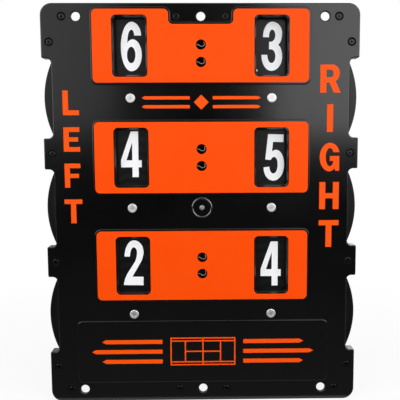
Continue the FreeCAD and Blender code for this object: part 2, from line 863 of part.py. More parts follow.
def disc_hub(name, place, flange_back):
    """Makes one hub, whose flange starts at a level and carries the disc."""
    body = new_body(f"disc_hub_{name}", place)
    back = f"{PARTING} + washer_thickness + axial_play"
    front = f"{CAVITY_FRONT} - washer_thickness - axial_play"
    bore = "post_radius + running_clearance"
    flange_front = f"{flange_back} + hub_flange_thickness"
    spin(body, [
        (bore, back),
        ("hub_radius", back),
        ("hub_radius", flange_back),
        ("hub_flange_radius", flange_back),
        ("hub_flange_radius", flange_front),
        ("hub_radius", flange_front),
        ("hub_radius", front),
        (bore, front),
    ])
    return body


def axle_set(name, place):
    """Makes one disc in its layer, with all that carries it."""
    layer = LAYERS[name]
    disc_back = f"({CAVITY_FRONT} - layer_room - disc_thickness - {layer} * layer_step)"
    if layer > max(LAYERS.values()) / 2:
        flange_back = f"({disc_back} + disc_thickness)"
    else:
        flange_back = f"({disc_back} - hub_flange_thickness)"
    washer_radii = ["washer_radius", "post_radius + washer_fit"]
    front_washer_back = f"{CAVITY_FRONT} - washer_thickness"
    return [
        number_disc(name, place, disc_back),
        disc_hub(name, place, flange_back),
        axle_post(name, place),
        axle_screw(name, place),
        ring(f"front_washer_{name}", place, washer_radii, front_washer_back, "washer_thickness"),
        ring(f"rear_washer_{name}", place, washer_radii, PARTING, "washer_thickness"),
    ]


def scoreboard():
    """Makes every piece of the board."""
    pieces = [front_panel(), rear_panel()]
    pieces += [label_plate(name) for name in ROWS]
    pieces.append(group("label_rivets", rivet(), all_rivets()))
    pieces.append(group("perimeter_screws", edge_screw(), screw_places()))
    names = [f"{row}_{side}" for row in ROWS for side in SIDES]
    for name, place in zip(names, axle_places()):
        pieces += axle_set(name, place)
    return pieces


parts = scoreboard()
doc.recompute()
for item in doc.Objects:
    if "Invalid" in item.State or "Error" in item.State:
        raise RuntimeError(f"{item.Label} failed: {item.State}")
for part in parts:
    if part.Shape.isNull() or not part.Shape.isValid():
        raise RuntimeError(f"{part.Label} has no valid shape")

os.makedirs("parts", exist_ok=True)
for part in parts:
    part.Shape.exportStep(f"parts/{part.Label}.step")
    print(part.Label, len(part.Shape.Solids), round(part.Shape.Volume))
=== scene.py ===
import math

import bpy
from mathutils import Matrix, Vector


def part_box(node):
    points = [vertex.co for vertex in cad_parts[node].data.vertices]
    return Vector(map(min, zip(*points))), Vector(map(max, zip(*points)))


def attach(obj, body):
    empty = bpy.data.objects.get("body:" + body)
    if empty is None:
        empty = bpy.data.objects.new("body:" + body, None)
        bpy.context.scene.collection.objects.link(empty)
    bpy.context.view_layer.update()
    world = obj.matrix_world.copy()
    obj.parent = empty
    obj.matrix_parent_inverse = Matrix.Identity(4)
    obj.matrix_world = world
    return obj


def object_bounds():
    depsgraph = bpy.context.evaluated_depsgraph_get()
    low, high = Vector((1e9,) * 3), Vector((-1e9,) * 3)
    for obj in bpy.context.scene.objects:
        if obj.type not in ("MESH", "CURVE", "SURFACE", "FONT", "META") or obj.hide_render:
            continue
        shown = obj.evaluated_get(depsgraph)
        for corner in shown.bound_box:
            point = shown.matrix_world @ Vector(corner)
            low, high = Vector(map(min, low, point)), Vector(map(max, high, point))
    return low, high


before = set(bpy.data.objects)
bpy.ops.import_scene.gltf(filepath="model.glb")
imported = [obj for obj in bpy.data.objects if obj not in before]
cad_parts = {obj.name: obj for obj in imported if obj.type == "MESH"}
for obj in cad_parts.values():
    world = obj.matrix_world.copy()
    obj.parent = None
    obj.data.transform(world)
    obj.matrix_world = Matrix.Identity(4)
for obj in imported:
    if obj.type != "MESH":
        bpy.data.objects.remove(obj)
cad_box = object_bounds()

MM = 0.001

# The discs: their rows and sides, and the figure that each one shows at rest.
ROWS = ("top", "middle", "lower")
SIDES = ("left", "right")
SHOWN = {
    "top_left": 6, "top_right": 3,
    "middle_left": 4, "middle_right": 5,
    "lower_left": 2, "lower_right": 4,
}
# Discs that a hand left a little past their figure, in degrees clockwise.
LEFT_TURNED = {"top_left": 1.1, "top_right": 0.7, "middle_right": 1.5, "lower_left": 1.0}
# How far the figure that each disc shows was printed from its place, to the right and up.
PRINT_OFFSETS = {
    "top_left": (0, -1.5 * MM), "top_right": (0.2 * MM, -0.9 * MM),
    "middle_left": (-1.2 * MM, 2.8 * MM), "middle_right": (3.0 * MM, -2.0 * MM),
    "lower_left": (-1.5 * MM, 0.9 * MM), "lower_right": (0.1 * MM, -1.8 * MM),
}

# Figures on the discs: number, height, how much wider than drawn, and how far their feet are from the axle.
FIGURE_COUNT = 8
FIGURE_HEIGHT = 68.4 * MM
FIGURE_SPREAD = 1.016
FIGURE_FOOT_RADIUS = 43.35 * MM
FIGURE_STEP = 2 * math.pi / FIGURE_COUNT

# Printed marks, and the caps on the rivets, stand up by this height from what carries them.
INK_HEIGHT = 0.14 * MM
INK_EDGE = 0.03 * MM
MERGE_DISTANCE = 0.001 * MM
# The steps of a round turn in an outline, and how far its handles reach towards the corner.
CURVE_STEPS = 10
ROUND_SHARE = 0.56

# Words down the two sides of the front: the height of a letter, its pitch and the place of the first one.
WORDS = {
    "left": {"letters": "LEFT", "height": 36 * MM, "pitch": 53.6 * MM, "x": -192.5 * MM, "top": 156.5 * MM},
    "right": {"letters": "RIGHT", "height": 41 * MM, "pitch": 57.8 * MM, "x": 191.5 * MM, "top": 190.9 * MM},
}

# Camera, fitted to the outline, holes, windows and axle heads of the board.
CAMERA_PLACE = Vector((9.4, -1100.0, 107.1)) * MM
CAMERA_YAW = math.radians(-1.098)
CAMERA_PITCH = math.radians(-6.813)
CAMERA_ROLL = math.radians(0.206)
SENSOR = 36.0
PICTURE = 400.0
FOCAL_PIXELS = 718.2
MIDDLE_SHIFT = (22.0, 21.9)
CAMERA_REACH = 100

# The studio: how bright its walls, ceiling and floor are, and between which slopes each one sets in.
ROOM_WALLS = 0.012
ROOM_CEILING = 0.14
ROOM_FLOOR = 0.14
CEILING_SLOPES = (0.25, 0.9)
GROUND_SLOPES = (-0.1, -0.34)
BACKDROP_SLOPES = (0.35, 0.9)

# The paper that the board stands on, in metres. Between two distances it fades into the backdrop, of which a
# share already shows near the board.
FLOOR_FRONT = -0.036
FLOOR_BACK = 5.0
FLOOR_WIDTH = 8.0
FLOOR_FADE = (0.4, 1.1)
FLOOR_FADE_SHARE = 0.86

# The lamps: name, place and aim in metres, width, height and watts.
LAMPS = (
    ("left_screen", (-1.98, -1.98, 1.08), (0, 0, -0.12), 2.4, 2.4, 56),
    ("right_screen", (1.98, -1.98, 1.0), (0, 0, -0.12), 2.4, 2.4, 54),
    ("front_left_box", (-1.12, -2.34, 0.72), (-1.12, 0, 0.72), 1.4, 1.2, 4.6),
    ("front_right_box", (1.005, -2.34, 0.7), (1.005, 0, 0.7), 1.4, 1.2, 12),
    ("top_box", (0.0, -0.6, 1.8), (0, 0, 0), 1.9, 0.5, 9),
    ("back_box", (0.9, 2.4, 1.3), (0, 0, 0), 1.8, 1.4, 46),
)

# The levels of the front: its face and the plateaus on it.
FACE_Y = -23.5 * MM
PLATEAU_Y = -26 * MM
# How far behind the face the moulding begins to be dull, and where it is quite dull.
DULL_START = 0.1 * MM
DULL_FULL = 0.5 * MM
# The raised mark in the middle of the front: its middle, the middle radius and half width of its ring, and
# the radius of its nub.
MARK_MIDDLE = Vector((0, -24.4, 0)) * MM
MARK_RING = 14.3 * MM
MARK_RING_HALF = 1.9 * MM
MARK_NUB = 4.2 * MM

# The depth of the case's grain and of the labels' stipple.
GRAIN_DEPTH = 0.2 * MM
STIPPLE_DEPTH = 0.1 * MM
# A wave texture turns through this many radians in each unit.
WAVE_RADIANS = 20

# The levels at which the painted shade in a screw's recess begins and is full, at the front and at the back.
FRONT_SCREW_SHADE = (-22.7 * MM, -22.3 * MM)
BACK_SCREW_SHADE = (-0.5 * MM, -0.9 * MM)

# Vertices belong to the same fastener when they lie nearer than this to the first one found there.
FASTENER_REACH = 15 * MM

# Dark rubber rings round the screws at the edge, a painted shade in their recesses, and the seat that they
# lie on.
DARK_RING_OUTSIDE = 6.4 * MM
DARK_RING_INSIDE = 4.75 * MM
DARK_RING_HEIGHT = 1.0 * MM
DARK_RING_EDGE = 0.3 * MM
DARK_RING_SIDES = 48
SCREW_SEAT_Y = -21.2 * MM

# A plan of a tennis court on the lower plateau, and the bands beside it.
COURT_HALF_LENGTH = 50 * MM
COURT_HALF_WIDTH = 22 * MM
COURT_SINGLES = 16.5 * MM
COURT_SERVICE = 27 * MM
COURT_LINE = 2.0 * MM
COURT_Z = -221.5 * MM
BAND_START = 62 * MM
BAND_END = 164 * MM
BAND_HALF = 3.2 * MM
BAND_PITCH = 15.5 * MM
BAND_POINT = 6 * MM

# A diamond and stripes below the top plate.
UPPER_MARK_Z = 157 * MM
STRIPE_START = 17 * MM
STRIPE_END = 84 * MM
STRIPE_HALF = 2.4 * MM
STRIPE_PITCH = 6.5 * MM
STRIPE_POINT = 4 * MM
DIAMOND = 11 * MM

# The caps on the rivets: a flat round cap and a grey crescent printed on it as a painted highlight, as
# outlines in shares of the cap's radius.
CAP_RADIUS = 6.6 * MM
CAP_OUTLINE = [(1, 0), (1, 1, 0, 1), (-1, 1, -1, 0), (-1, -1, 0, -1), (1, -1, 1, 0)]
PAINTED_CRESCENT = [(-0.97, 0.035), (-0.51, -0.075), (-0.12, -0.448, 0.22, -0.425), (0.788, -0.425, 0.815, 0.12),
        (0.835, 0.437, 0.666, 0.648), (0.594, 0.592), (0.745, 0.403, 0.725, 0.12),
        (0.692, -0.335, 0.22, -0.335), (-0.08, -0.352, -0.49, 0.015), (-0.97, 0.125)]

# Each figure is (foot, head, outlines) in shares of its height: round ends pass the line a little.
# An outline is a start and its steps: two numbers are a straight line to a point, and four are a round turn
# whose ends aim at the first pair and that ends at the second.
FIGURES = [
    (-0.024, 1.024, [
        [(0, 0.5), (0, 1, 0.213, 1), (0.426, 1, 0.426, 0.5), (0.426, 0, 0.213, 0), (0, 0, 0, 0.5)],
        [(0.130, 0.5), (0.130, 0.845, 0.213, 0.845), (0.296, 0.845, 0.296, 0.5),
         (0.296, 0.155, 0.213, 0.155), (0.130, 0.155, 0.130, 0.5)],
    ]),
    (0, 1.0, [
        [(0.03, 0.70), (0.03, 0.80), (0.19, 0.80, 0.205, 1), (0.31, 1), (0.31, 0), (0.165, 0),
         (0.165, 0.70)],
    ]),
    (0, 1.012, [
        [(0.015, 0.638), (0.015, 1, 0.219, 1), (0.425, 1, 0.425, 0.735), (0.425, 0.60, 0.340, 0.47),
         (0.185, 0.19), (0.425, 0.19), (0.425, 0), (0, 0), (0, 0.12, 0.079, 0.26), (0.228, 0.505),
         (0.285, 0.60, 0.285, 0.725), (0.285, 0.845, 0.212, 0.845), (0.132, 0.845, 0.132, 0.638)],
    ]),
    (-0.024, 1.024, [
        [(0.026, 0.684), (0.026, 1, 0.212, 1), (0.417, 1, 0.417, 0.765), (0.417, 0.575, 0.340, 0.532),
         (0.4265, 0.485, 0.4265, 0.285), (0.4265, 0, 0.208, 0), (0, 0, 0, 0.325), (0.122, 0.325),
         (0.122, 0.160, 0.208, 0.160), (0.288, 0.160, 0.288, 0.295), (0.288, 0.440, 0.195, 0.440),
         (0.155, 0.440), (0.155, 0.592), (0.185, 0.592), (0.279, 0.592, 0.279, 0.725),
         (0.279, 0.840, 0.212, 0.840), (0.149, 0.840, 0.149, 0.684)],
    ]),
    (0, 1.0, [
        [(0.222, 1), (0.378, 1), (0.378, 0.37), (0.4475, 0.37), (0.4475, 0.216), (0.378, 0.216),
         (0.378, 0), (0.245, 0), (0.245, 0.216), (0, 0.216), (0, 0.375)],
        [(0.245, 0.37), (0.245, 0.76), (0.118, 0.37)],
    ]),
    (-0.024, 1.0, [
        [(0.075, 1), (0.405, 1), (0.405, 0.835), (0.183, 0.835), (0.168, 0.630),
         (0.205, 0.668, 0.255, 0.668), (0.435, 0.668, 0.435, 0.335), (0.435, 0, 0.208, 0),
         (0, 0, 0, 0.285), (0.122, 0.300), (0.130, 0.155, 0.210, 0.155), (0.297, 0.155, 0.297, 0.335),
         (0.297, 0.515, 0.222, 0.515), (0.165, 0.515, 0.148, 0.445), (0.030, 0.455)],
    ]),
    (-0.024, 1.024, [
        [(0.412, 0.726), (0.405, 1, 0.213, 1), (0, 1, 0, 0.5), (0, 0, 0.213, 0),
         (0.4265, 0, 0.4265, 0.328), (0.4265, 0.648, 0.240, 0.648), (0.165, 0.648, 0.132, 0.570),
         (0.130, 0.842, 0.212, 0.842), (0.268, 0.842, 0.270, 0.726)],
        [(0.126, 0.330), (0.126, 0.497, 0.211, 0.497), (0.297, 0.497, 0.297, 0.330),
         (0.297, 0.165, 0.211, 0.165), (0.126, 0.165, 0.126, 0.330)],
    ]),
    (0, 1.0, [
        [(0, 1), (0.43, 1), (0.43, 0.86), (0.262, 0.50, 0.240, 0), (0.092, 0),
         (0.120, 0.46, 0.275, 0.835), (0, 0.835)],
    ]),
]

# Letters as outlines in shares of their height.
LETTERS = {
    "L": [[(0, 0), (0.66, 0), (0.66, 0.2), (0.22, 0.2), (0.22, 1), (0, 1)]],
    "E": [[(0, 0), (0.67, 0), (0.67, 0.19), (0.22, 0.19), (0.22, 0.41), (0.60, 0.41), (0.60, 0.59),
           (0.22, 0.59), (0.22, 0.81), (0.66, 0.81), (0.66, 1), (0, 1)]],
    "F": [[(0, 0), (0.22, 0), (0.22, 0.40), (0.59, 0.40), (0.59, 0.58), (0.22, 0.58), (0.22, 0.81),
           (0.66, 0.81), (0.66, 1), (0, 1)]],
    "T": [[(0.26, 0), (0.48, 0), (0.48, 0.81), (0.74, 0.81), (0.74, 1), (0, 1), (0, 0.81), (0.26, 0.81)]],
    "R": [[(0, 0), (0.22, 0), (0.22, 0.37), (0.33, 0.37), (0.49, 0), (0.74, 0), (0.55, 0.42),
           (0.70, 0.49, 0.70, 0.70), (0.70, 1, 0.42, 1), (0, 1)],
          [(0.22, 0.55), (0.38, 0.55), (0.48, 0.55, 0.48, 0.685), (0.48, 0.82, 0.38, 0.82), (0.22, 0.82)]],
    "I": [[(0, 0), (0.22, 0), (0.22, 1), (0, 1)]],
    "G": [[(0.72, 0.54), (0.72, 0), (0.57, 0), (0.55, 0.10), (0.47, -0.02, 0.36, -0.02),
           (0, -0.02, 0, 0.5), (0, 1.02, 0.37, 1.02), (0.69, 1.02, 0.71, 0.68), (0.49, 0.68),
           (0.47, 0.83, 0.37, 0.83), (0.22, 0.83, 0.22, 0.5), (0.22, 0.17, 0.37, 0.17),
           (0.49, 0.17, 0.50, 0.36), (0.37, 0.36), (0.37, 0.54)]],
    "H": [[(0, 0), (0.22, 0), (0.22, 0.40), (0.50, 0.40), (0.50, 0), (0.72, 0), (0.72, 1), (0.50, 1),
           (0.50, 0.59), (0.22, 0.59), (0.22, 1), (0, 1)]],
}


def linear(hex_colour):
    """A colour written as sRGB, such as FF8000, as the linear numbers that a shader takes."""
    shares = [int(hex_colour[start:start + 2], 16) / 255 for start in (0, 2, 4)]
    levels = [share / 12.92 if share <= 0.04045 else ((share + 0.055) / 1.055) ** 2.4 for share in shares]
    return levels + [1.0]


def add_node(tree, kind, values=None, links=None, **settings):
    """A new node with its settings, its sockets' values and its links from (node, output) pairs."""
    made = tree.nodes.new(kind)
    for name, setting in settings.items():
        setattr(made, name, setting)
    for socket, value in (values or {}).items():
        made.inputs[socket].default_value = value
    for socket, (source, output) in (links or {}).items():
        tree.links.new(source.outputs[output], made.inputs[socket])
    return made


def new_material(name):
    """An empty node material and its tree."""
    material = bpy.data.materials.new(name)
    material.use_nodes = True
    material.node_tree.nodes.clear()
    return material, material.node_tree


def per_metre(millimetres):
    """A texture's scale for a pattern of that size."""
    return 1 / (millimetres * MM)


def rings_apart(millimetres):
    """A wave texture's scale for rings that far apart."""
    return 2 * math.pi / WAVE_RADIANS * per_metre(millimetres)


def black_abs():
    """Injection-moulded ABS: deep black, glossy on the front with faint handling, dull in the recesses and
    on the sides, where the mould was spark-eroded. Its raised mark carries a painted highlight: the ring and
    nub are a metallic grey, the nub lighter."""
    material, tree = new_material("black_moulded_abs")
    where = add_node(tree, "ShaderNodeTexCoord")
    # The real grain is about 0.3 mm, too fine for the picture, and is drawn at 2.5 mm.
    grain = add_node(tree, "ShaderNodeTexNoise", {"Scale": per_metre(2.5), "Detail": 4.0, "Roughness": 0.6},
                     {"Vector": (where, "Object")})
    handling = add_node(tree, "ShaderNodeTexNoise",
                        {"Scale": per_metre(90), "Detail": 5.0, "Roughness": 0.62},
                        {"Vector": (where, "Object")})
    gloss = add_node(tree, "ShaderNodeMapRange",
                     {"From Min": 0.3, "From Max": 0.7, "To Min": 0.13, "To Max": 0.18},
                     {"Value": (handling, "Fac")})
    split = add_node(tree, "ShaderNodeSeparateXYZ", links={"Vector": (where, "Object")})
    deep = add_node(tree, "ShaderNodeMapRange",
                    {"From Min": FACE_Y + DULL_START, "From Max": FACE_Y + DULL_FULL,
                     "To Min": 0.0, "To Max": 0.5},
                    {"Value": (split, "Y")})
    centred = add_node(tree, "ShaderNodeMapping", {"Location": -MARK_MIDDLE}, {"Vector": (where, "Object")},
                       vector_type="POINT")
    radius = add_node(tree, "ShaderNodeVectorMath", links={0: (centred, "Vector")}, operation="LENGTH")
    ring = add_node(tree, "ShaderNodeMath", {1: MARK_RING, 2: MARK_RING_HALF}, {0: (radius, "Value")},
                    operation="COMPARE")
    nub = add_node(tree, "ShaderNodeMath", {1: MARK_NUB}, {0: (radius, "Value")}, operation="LESS_THAN")
    mark = add_node(tree, "ShaderNodeMath", links={0: (ring, "Value"), 1: (nub, "Value")},
                    operation="MAXIMUM")
    dull = add_node(tree, "ShaderNodeMath", links={0: (gloss, "Result"), 1: (deep, "Result")},
                    operation="MAXIMUM")
    nub_roughness = add_node(tree, "ShaderNodeMapRange", {"To Min": 0.0, "To Max": 0.45}, {"Value": (nub, "Value")})
    sheen = add_node(tree, "ShaderNodeMath", links={0: (dull, "Value"), 1: (nub_roughness, "Result")},
                     operation="MAXIMUM")
    plain = add_node(tree, "ShaderNodeMixRGB", {"Color1": linear("040405"), "Color2": linear("090909")},
                     {"Fac": (handling, "Fac")})
    # Painted highlight: the ring of the raised mark is a metallic mid grey and its nub a lighter grey, so
    # they shine brighter than the black face.
    painted_highlight_grey = add_node(tree, "ShaderNodeMixRGB", {"Color1": linear("6E6E70"), "Color2": linear("A4A4A6")},
                      {"Fac": (nub, "Value")})
    colour = add_node(tree, "ShaderNodeMixRGB",
                      links={"Fac": (mark, "Value"), "Color1": (plain, "Color"), "Color2": (painted_highlight_grey, "Color")})
    bump = add_node(tree, "ShaderNodeBump", {"Strength": 0.10, "Distance": GRAIN_DEPTH},
                    {"Height": (grain, "Fac")})
    surface = add_node(tree, "ShaderNodeBsdfPrincipled", {"IOR": 1.53},
                       {"Base Color": (colour, "Color"), "Metallic": (mark, "Value"),
                        "Roughness": (sheen, "Value"), "Normal": (bump, "Normal")})
    add_node(tree, "ShaderNodeOutputMaterial", links={"Surface": (surface, "BSDF")})
    return material


def orange_sheet():
    """Polycarbonate sheet printed on its face: an even, satin signal orange with a trace of mottle."""
    material, tree = new_material("orange_printed_polycarbonate")
    where = add_node(tree, "ShaderNodeTexCoord")
    mottle = add_node(tree, "ShaderNodeTexNoise", {"Scale": per_metre(35), "Detail": 4.0, "Roughness": 0.6},
                      {"Vector": (where, "Object")})
    # The print's own stipple is about 0.2 mm, and is drawn at 1.6 mm.
    stipple = add_node(tree, "ShaderNodeTexNoise", {"Scale": per_metre(1.6), "Detail": 2.0},
                       {"Vector": (where, "Object")})
    colour = add_node(tree, "ShaderNodeMixRGB", {"Color1": linear("FD4B02"), "Color2": linear("FF5206")},
                      {"Fac": (mottle, "Fac")})
    satin = add_node(tree, "ShaderNodeMapRange",
                     {"From Min": 0.3, "From Max": 0.7, "To Min": 0.36, "To Max": 0.44},
                     {"Value": (mottle, "Fac")})
    bump = add_node(tree, "ShaderNodeBump", {"Strength": 0.05, "Distance": STIPPLE_DEPTH},
                    {"Height": (stipple, "Fac")})
    surface = add_node(tree, "ShaderNodeBsdfPrincipled", {"IOR": 1.58, "Specular IOR Level": 0.08},
                       {"Base Color": (colour, "Color"), "Roughness": (satin, "Result"),
                        "Normal": (bump, "Normal")})
    add_node(tree, "ShaderNodeOutputMaterial", links={"Surface": (surface, "BSDF")})
    return material


def black_nylon():
    """Moulded nylon: black, a little softer and glossier than the case, with a faint flow pattern."""
    material, tree = new_material("black_moulded_nylon")
    where = add_node(tree, "ShaderNodeTexCoord")
    flow = add_node(tree, "ShaderNodeTexNoise", {"Scale": per_metre(4), "Detail": 3.0, "Distortion": 0.8},
                    {"Vector": (where, "Object")})
    colour = add_node(tree, "ShaderNodeMixRGB", {"Color1": linear("030303"), "Color2": linear("080809")},
                      {"Fac": (flow, "Fac")})
    gloss = add_node(tree, "ShaderNodeMapRange", {"To Min": 0.07, "To Max": 0.11}, {"Value": (flow, "Fac")})
    surface = add_node(tree, "ShaderNodeBsdfPrincipled", {"IOR": 1.53},
                       {"Base Color": (colour, "Color"), "Roughness": (gloss, "Result")})
    add_node(tree, "ShaderNodeOutputMaterial", links={"Surface": (surface, "BSDF")})
    return material


def black_oxide_steel(name, shade_start, shade_full):
    """Black-oxide steel: a thin dark skin on a turned screw with a soft shine, darkened and dulled deeper in
    the recess as painted shade. The painted shade begins at the first level given and is full at the second."""
    material, tree = new_material(f"black_oxide_steel_{name}")
    where = add_node(tree, "ShaderNodeTexCoord")
    wear = add_node(tree, "ShaderNodeTexNoise", {"Scale": per_metre(3), "Detail": 4.0, "Roughness": 0.55},
                    {"Vector": (where, "Object")})
    split = add_node(tree, "ShaderNodeSeparateXYZ", links={"Vector": (where, "Object")})
    # Painted shade: deeper in the recess the skin is darkened to near black and dulled.
    recess_shade = add_node(tree, "ShaderNodeMapRange", {"From Min": shade_start, "From Max": shade_full},
                    {"Value": (split, "Y")})
    skin = add_node(tree, "ShaderNodeMixRGB", {"Color1": linear("2E2E30"), "Color2": linear("3E3E40")},
                    {"Fac": (wear, "Fac")})
    colour = add_node(tree, "ShaderNodeMixRGB", {"Color2": linear("0A0A0A")},
                      {"Fac": (recess_shade, "Result"), "Color1": (skin, "Color")})
    shine = add_node(tree, "ShaderNodeMapRange", {"To Min": 0.2, "To Max": 0.32}, {"Value": (wear, "Fac")})
    dull = add_node(tree, "ShaderNodeMath", {1: 0.6}, {0: (recess_shade, "Result")}, operation="MULTIPLY")
    gloss = add_node(tree, "ShaderNodeMath", links={0: (shine, "Result"), 1: (dull, "Value")},
                     operation="MAXIMUM")
    surface = add_node(tree, "ShaderNodeBsdfPrincipled", {"Metallic": 1.0},
                       {"Base Color": (colour, "Color"), "Roughness": (gloss, "Value")})
    add_node(tree, "ShaderNodeOutputMaterial", links={"Surface": (surface, "BSDF")})
    return material


def disc_sheet(name, middle):
    """Polystyrene sheet, die cut and matte: black, with faint rings where the disc rubs as it turns."""
    material, tree = new_material(f"black_polystyrene_sheet_{name}")
    where = add_node(tree, "ShaderNodeTexCoord")
    centred = add_node(tree, "ShaderNodeMapping", {"Location": [-share for share in middle]},
                       {"Vector": (where, "Object")}, vector_type="POINT")
    # Real rub marks are finer than 1 mm, and are drawn as broad rings about the axle.
    rings = add_node(tree, "ShaderNodeTexWave",
                     {"Scale": rings_apart(13.82), "Distortion": 2.0, "Detail": 3.0, "Detail Scale": 0.4},
                     {"Vector": (centred, "Vector")}, wave_type="RINGS", rings_direction="Y")
    dust = add_node(tree, "ShaderNodeTexNoise", {"Scale": per_metre(40), "Detail": 5.0, "Roughness": 0.6},
                    {"Vector": (centred, "Vector")})
    both = add_node(tree, "ShaderNodeMath", links={0: (rings, "Fac"), 1: (dust, "Fac")}, operation="MULTIPLY")
    colour = add_node(tree, "ShaderNodeMixRGB", {"Color1": linear("060607"), "Color2": linear("0E0E10")},
                      {"Fac": (both, "Value")})
    matte = add_node(tree, "ShaderNodeMapRange", {"To Min": 0.28, "To Max": 0.4}, {"Value": (both, "Value")})
    surface = add_node(tree, "ShaderNodeBsdfPrincipled", {"IOR": 1.55, "Specular IOR Level": 0.3},
                       {"Base Color": (colour, "Color"), "Roughness": (matte, "Result")})
    add_node(tree, "ShaderNodeOutputMaterial", links={"Surface": (surface, "BSDF")})
    return material


def grey_acetal():
    """Acetal, moulded: a dense waxy dark grey."""
    material, tree = new_material("dark_grey_acetal")
    where = add_node(tree, "ShaderNodeTexCoord")
    cloud = add_node(tree, "ShaderNodeTexNoise", {"Scale": per_metre(6), "Detail": 3.0},
                     {"Vector": (where, "Object")})
    colour = add_node(tree, "ShaderNodeMixRGB", {"Color1": linear("3A3A3C"), "Color2": linear("464648")},
                      {"Fac": (cloud, "Fac")})
    surface = add_node(tree, "ShaderNodeBsdfPrincipled", {"IOR": 1.48, "Roughness": 0.4},
                       {"Base Color": (colour, "Color")})
    add_node(tree, "ShaderNodeOutputMaterial", links={"Surface": (surface, "BSDF")})
    return material


def turned_steel(name, middle):
    """Stainless steel, faced on a lathe and polished: bright, with faint rings about the post's own axis."""
    material, tree = new_material(f"polished_stainless_steel_{name}")
    where = add_node(tree, "ShaderNodeTexCoord")
    centred = add_node(tree, "ShaderNodeMapping", {"Location": [-share for share in middle]},
                       {"Vector": (where, "Object")}, vector_type="POINT")
    # A lathe's feed marks are about 0.1 mm apart, and are drawn as one broad ring on the head.
    rings = add_node(tree, "ShaderNodeTexWave", {"Scale": rings_apart(8.8), "Distortion": 0.3},
                     {"Vector": (centred, "Vector")}, wave_type="RINGS", rings_direction="Y")
    gloss = add_node(tree, "ShaderNodeMapRange", {"To Min": 0.34, "To Max": 0.44}, {"Value": (rings, "Fac")})
    colour = add_node(tree, "ShaderNodeMixRGB", {"Color1": linear("E2E2E4"), "Color2": linear("F4F4F5")},
                      {"Fac": (rings, "Fac")})
    surface = add_node(tree, "ShaderNodeBsdfPrincipled", {"Metallic": 1.0},
                       {"Base Color": (colour, "Color"), "Roughness": (gloss, "Result")})
    add_node(tree, "ShaderNodeOutputMaterial", links={"Surface": (surface, "BSDF")})
    return material


def natural_nylon():
    """Natural nylon, cut from strip: a milky cream, faintly clouded."""
    material, tree = new_material("natural_nylon")
    where = add_node(tree, "ShaderNodeTexCoord")
    cloud = add_node(tree, "ShaderNodeTexNoise", {"Scale": per_metre(5), "Detail": 3.0},
                     {"Vector": (where, "Object")})
    colour = add_node(tree, "ShaderNodeMixRGB", {"Color1": linear("CFC8B6"), "Color2": linear("DDD7C8")},
                      {"Fac": (cloud, "Fac")})
    surface = add_node(tree, "ShaderNodeBsdfPrincipled", {"IOR": 1.53, "Roughness": 0.45},
                       {"Base Color": (colour, "Color")})
    add_node(tree, "ShaderNodeOutputMaterial", links={"Surface": (surface, "BSDF")})
    return material


def black_rubber():
    """Cut rubber sheet: dull black with a fine grain."""
    material, tree = new_material("black_sheet_rubber")
    where = add_node(tree, "ShaderNodeTexCoord")
    grain = add_node(tree, "ShaderNodeTexNoise", {"Scale": per_metre(1.5), "Detail": 3.0},
                     {"Vector": (where, "Object")})
    colour = add_node(tree, "ShaderNodeMixRGB", {"Color1": linear("080808"), "Color2": linear("101010")},
                      {"Fac": (grain, "Fac")})
    surface = add_node(tree, "ShaderNodeBsdfPrincipled",
                       {"IOR": 1.52, "Roughness": 0.75, "Specular IOR Level": 0.15},
                       {"Base Color": (colour, "Color")})
    add_node(tree, "ShaderNodeOutputMaterial", links={"Surface": (surface, "BSDF")})
    return material


def printed_ink(name, darker, lighter):
    """Screen ink on moulded plastic: even and opaque, with a slightly thinner patch here and there."""
    material, tree = new_material(name)
    where = add_node(tree, "ShaderNodeTexCoord")
    cover = add_node(tree, "ShaderNodeTexNoise", {"Scale": per_metre(8), "Detail": 5.0, "Roughness": 0.65},
                     {"Vector": (where, "Object")})
    colour = add_node(tree, "ShaderNodeMixRGB", {"Color1": linear(darker), "Color2": linear(lighter)},
                      {"Fac": (cover, "Fac")})
    surface = add_node(tree, "ShaderNodeBsdfPrincipled",
                       {"IOR": 1.5, "Roughness": 0.5, "Specular IOR Level": 0.15},
                       {"Base Color": (colour, "Color")})
    add_node(tree, "ShaderNodeOutputMaterial", links={"Surface": (surface, "BSDF")})
    return material


def turned(x, z, angle):
    """A point of the front, turned clockwise about the origin as seen from in front."""
    return x * math.cos(angle) + z * math.sin(angle), z * math.cos(angle) - x * math.sin(angle)


def toward(start, corner):
    """The handle of a round turn that leaves start towards corner."""
    return tuple(a + ROUND_SHARE * (b - a) for a, b in zip(start, corner))


def add_outline(curve, outline):
    """One closed outline of a flat curve."""
    steps = outline[1:]
    points = [outline[0]] + [step[-2:] for step in steps]
    corners = [step[:2] if len(step) == 4 else None for step in steps]
    if points[-1] == points[0]:
        points.pop()
    else:
        corners.append(None)
    spline = curve.splines.new("BEZIER")
    spline.bezier_points.add(len(points) - 1)
    spline.use_cyclic_u = True
    spline.resolution_u = CURVE_STEPS
    count = len(points)
    for i, point in enumerate(points):
        knot = spline.bezier_points[i]
        before = corners[i - 1]
        after = corners[i]
        knot.handle_left_type = "FREE" if before else "VECTOR"
        knot.handle_right_type = "FREE" if after else "VECTOR"
        knot.co = (*point, 0)
        knot.handle_left = (*toward(point, before or points[i - 1]), 0)
        knot.handle_right = (*toward(point, after or points[(i + 1) % count]), 0)


